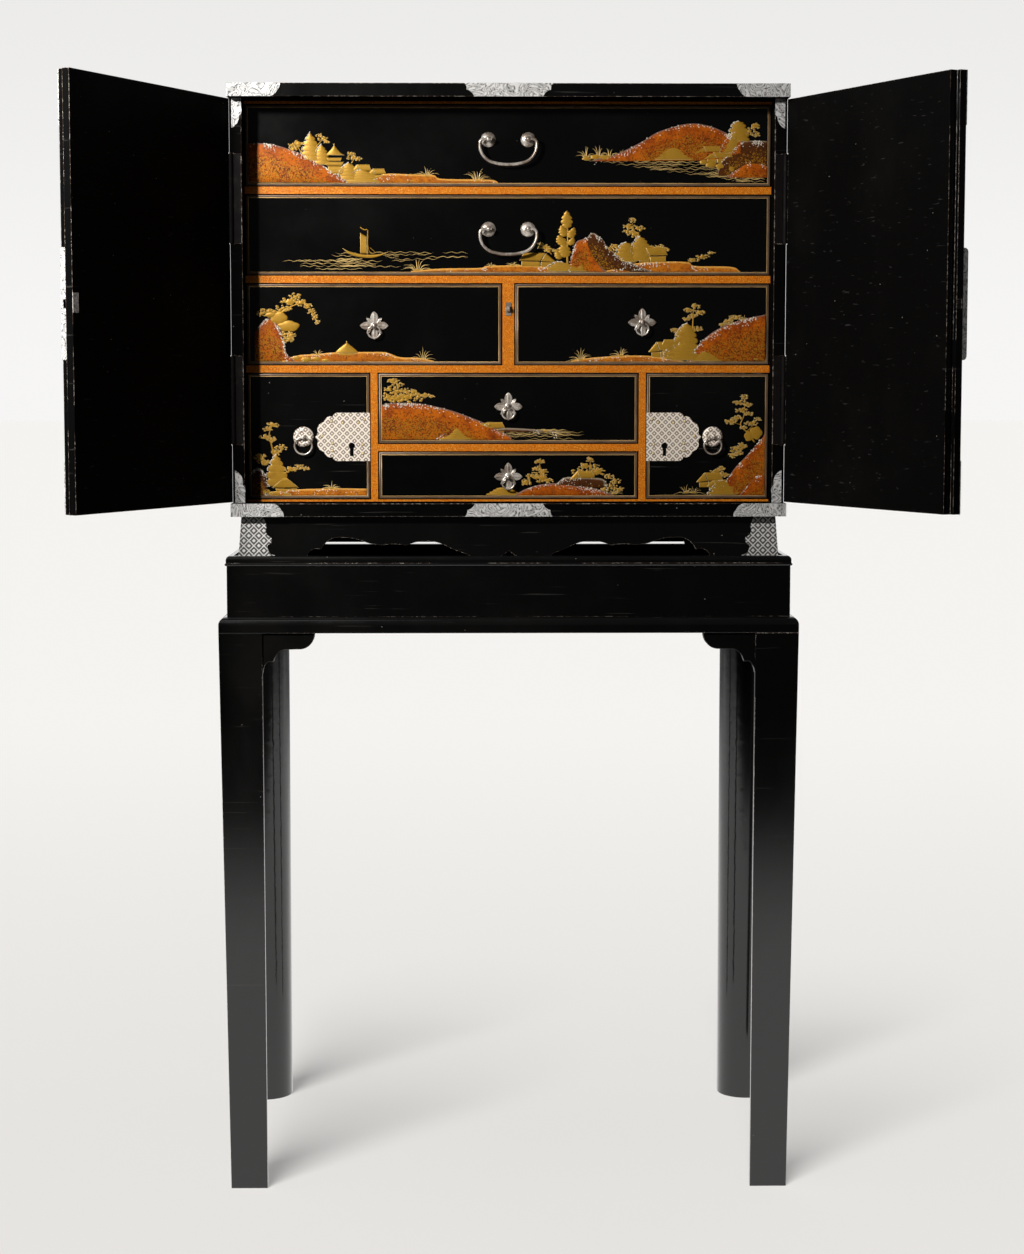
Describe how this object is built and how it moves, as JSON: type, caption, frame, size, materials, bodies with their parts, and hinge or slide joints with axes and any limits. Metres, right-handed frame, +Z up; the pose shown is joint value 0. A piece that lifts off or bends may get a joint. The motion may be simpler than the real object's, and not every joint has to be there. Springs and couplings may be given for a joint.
{
  "type": "cabinet on stand",
  "caption": "Lacquered cabinet with hinged doors that cover drawers and small inner doors, on a scalloped base and a stand with legs.",
  "frame": {"origin": "on the floor, midway between the widest points and between the front and back of the whole object with its doors standing open", "axes": "+Z up, -Y towards the front, +X to the right of someone facing the drawers"},
  "size_m": [1.0056, 0.7258, 1.366],
  "materials": {
    "black_lacquer": "gloss black lacquer",
    "rail_lacquer": "gloss orange lacquer with gold flakes",
    "stand_lacquer": "gloss black lacquer over cypress wood",
    "silvered_metal": "silvered and engraved sheet",
    "pull_metal": "silvered and burnished",
    "hinge_metal": "dark patinated",
    "iron": "blackened"
  },
  "bodies": {
    "cabinet": {"leg_front_left": "stand_lacquer", "leg_back_left": "stand_lacquer", "leg_front_right": "stand_lacquer", "leg_back_right": "stand_lacquer", "lower_frame": "stand_lacquer", "frieze_boards": "stand_lacquer", "stand_deck": "stand_lacquer", "deck_moulding": "stand_lacquer", "leg_brackets": "stand_lacquer", "base_boards": "black_lacquer", "case_top": "black_lacquer", "case_bottom": "black_lacquer", "case_back": "black_lacquer", "case_side_left": "black_lacquer", "case_side_right": "black_lacquer", "shelf_upper": "rail_lacquer", "shelf_middle": "rail_lacquer", "shelf_lower": "rail_lacquer", "third_row_divider": "rail_lacquer", "low_dividers": "rail_lacquer", "centre_shelf": "rail_lacquer", "bank_trim_rails": "rail_lacquer", "door_catch_staple": "iron", "silver_mounts": "silvered_metal", "case_hinge_leaves": "hinge_metal", "hinge_pins": "hinge_metal", "inner_door_pivots": "hinge_metal"},
    "left_door": {"left_door_panel": "black_lacquer", "left_door_leaves": "hinge_metal", "left_door_mounts": "silvered_metal"},
    "right_door": {"right_door_panel": "black_lacquer", "right_door_leaves": "hinge_metal", "right_door_mounts": "silvered_metal"},
    "door_bolt": {"door_bolt": "iron"},
    "upper_drawer": {"upper_drawer": "black_lacquer", "upper_bail_posts": "pull_metal"},
    "upper_bail": {"upper_bail": "pull_metal"},
    "middle_drawer": {"middle_drawer": "black_lacquer", "middle_bail_posts": "pull_metal"},
    "middle_bail": {"middle_bail": "pull_metal"},
    "third_drawer_left": {"third_drawer_left": "black_lacquer", "third_left_flower": "pull_metal"},
    "third_left_ring": {"third_left_ring": "pull_metal"},
    "third_drawer_right": {"third_drawer_right": "black_lacquer", "third_right_flower": "pull_metal"},
    "third_right_ring": {"third_right_ring": "pull_metal"},
    "centre_drawer_upper": {"centre_drawer_upper": "black_lacquer", "centre_upper_flower": "pull_metal"},
    "centre_upper_ring": {"centre_upper_ring": "pull_metal"},
    "centre_drawer_lower": {"centre_drawer_lower": "black_lacquer", "centre_lower_flower": "pull_metal"},
    "centre_lower_ring": {"centre_lower_ring": "pull_metal"},
    "inner_door_left": {"inner_door_left": "black_lacquer", "inner_lock_left": "silvered_metal"},
    "inner_ring_left": {"inner_ring_left": "pull_metal"},
    "inner_bolt_left": {"inner_bolt_left": "iron"},
    "inner_door_right": {"inner_door_right": "black_lacquer", "inner_lock_right": "silvered_metal"},
    "inner_ring_right": {"inner_ring_right": "pull_metal"},
    "inner_bolt_right": {"inner_bolt_right": "iron"}
  },
  "joints": [
    {"name": "left_door_hinge", "type": "hinge", "parent": "cabinet", "child": "left_door", "pos_m": [-0.3385, -0.0542, 1.104], "axis": [0, 0, -1], "range_deg": [-115.2, 54.8]},
    {"name": "right_door_hinge", "type": "hinge", "parent": "cabinet", "child": "right_door", "pos_m": [0.3385, -0.0542, 1.104], "axis": [0, 0, 1], "range_deg": [-115.2, 54.8]},
    {"name": "door_bolt_slide", "type": "slide", "parent": "right_door", "child": "door_bolt", "axis": [0.4258, -0.9048, 0], "range_m": [0, 0.009]},
    {"name": "upper_drawer_slide", "type": "slide", "parent": "cabinet", "child": "upper_drawer", "axis": [0, -1, 0], "range_m": [0, 0.24]},
    {"name": "middle_drawer_slide", "type": "slide", "parent": "cabinet", "child": "middle_drawer", "axis": [0, -1, 0], "range_m": [0, 0.24]},
    {"name": "third_drawer_left_slide", "type": "slide", "parent": "cabinet", "child": "third_drawer_left", "axis": [0, -1, 0], "range_m": [0, 0.24]},
    {"name": "third_drawer_right_slide", "type": "slide", "parent": "cabinet", "child": "third_drawer_right", "axis": [0, -1, 0], "range_m": [0, 0.24]},
    {"name": "centre_drawer_upper_slide", "type": "slide", "parent": "cabinet", "child": "centre_drawer_upper", "axis": [0, -1, 0], "range_m": [0, 0.24]},
    {"name": "centre_drawer_lower_slide", "type": "slide", "parent": "cabinet", "child": "centre_drawer_lower", "axis": [0, -1, 0], "range_m": [0, 0.24]},
    {"name": "upper_bail_swing", "type": "hinge", "parent": "upper_drawer", "child": "upper_bail", "pos_m": [0, -0.028, 1.3035], "axis": [-1, 0, 0], "range_deg": [0, 95]},
    {"name": "middle_bail_swing", "type": "hinge", "parent": "middle_drawer", "child": "middle_bail", "pos_m": [0, -0.028, 1.1942], "axis": [-1, 0, 0], "range_deg": [0, 95]},
    {"name": "third_left_ring_swing", "type": "hinge", "parent": "third_drawer_left", "child": "third_left_ring", "pos_m": [-0.16615, -0.0245, 1.076], "axis": [-1, 0, 0], "range_deg": [0, 80]},
    {"name": "third_right_ring_swing", "type": "hinge", "parent": "third_drawer_right", "child": "third_right_ring", "pos_m": [0.16615, -0.0245, 1.08], "axis": [-1, 0, 0], "range_deg": [0, 80]},
    {"name": "centre_upper_ring_swing", "type": "hinge", "parent": "centre_drawer_upper", "child": "centre_upper_ring", "pos_m": [0, -0.0245, 0.976], "axis": [-1, 0, 0], "range_deg": [0, 80]},
    {"name": "centre_lower_ring_swing", "type": "hinge", "parent": "centre_drawer_lower", "child": "centre_lower_ring", "pos_m": [0, -0.0245, 0.889], "axis": [-1, 0, 0], "range_deg": [0, 80]},
    {"name": "inner_door_left_hinge", "type": "hinge", "parent": "cabinet", "child": "inner_door_left", "pos_m": [-0.3184, -0.012, 0.938], "axis": [0, 0, -1], "range_deg": [0, 90]},
    {"name": "inner_ring_left_swing", "type": "hinge", "parent": "inner_door_left", "child": "inner_ring_left", "pos_m": [-0.2548, -0.0245, 0.9385], "axis": [-1, 0, 0], "range_deg": [0, 80]},
    {"name": "inner_bolt_left_slide", "type": "slide", "parent": "inner_door_left", "child": "inner_bolt_left", "axis": [1, 0, 0], "range_m": [0, 0.006]},
    {"name": "inner_door_right_hinge", "type": "hinge", "parent": "cabinet", "child": "inner_door_right", "pos_m": [0.3184, -0.012, 0.938], "axis": [0, 0, 1], "range_deg": [0, 90]},
    {"name": "inner_ring_right_swing", "type": "hinge", "parent": "inner_door_right", "child": "inner_ring_right", "pos_m": [0.2548, -0.0245, 0.9385], "axis": [-1, 0, 0], "range_deg": [0, 80]},
    {"name": "inner_bolt_right_slide", "type": "slide", "parent": "inner_door_right", "child": "inner_bolt_right", "axis": [-1, 0, 0], "range_m": [0, 0.006]}
  ]
}
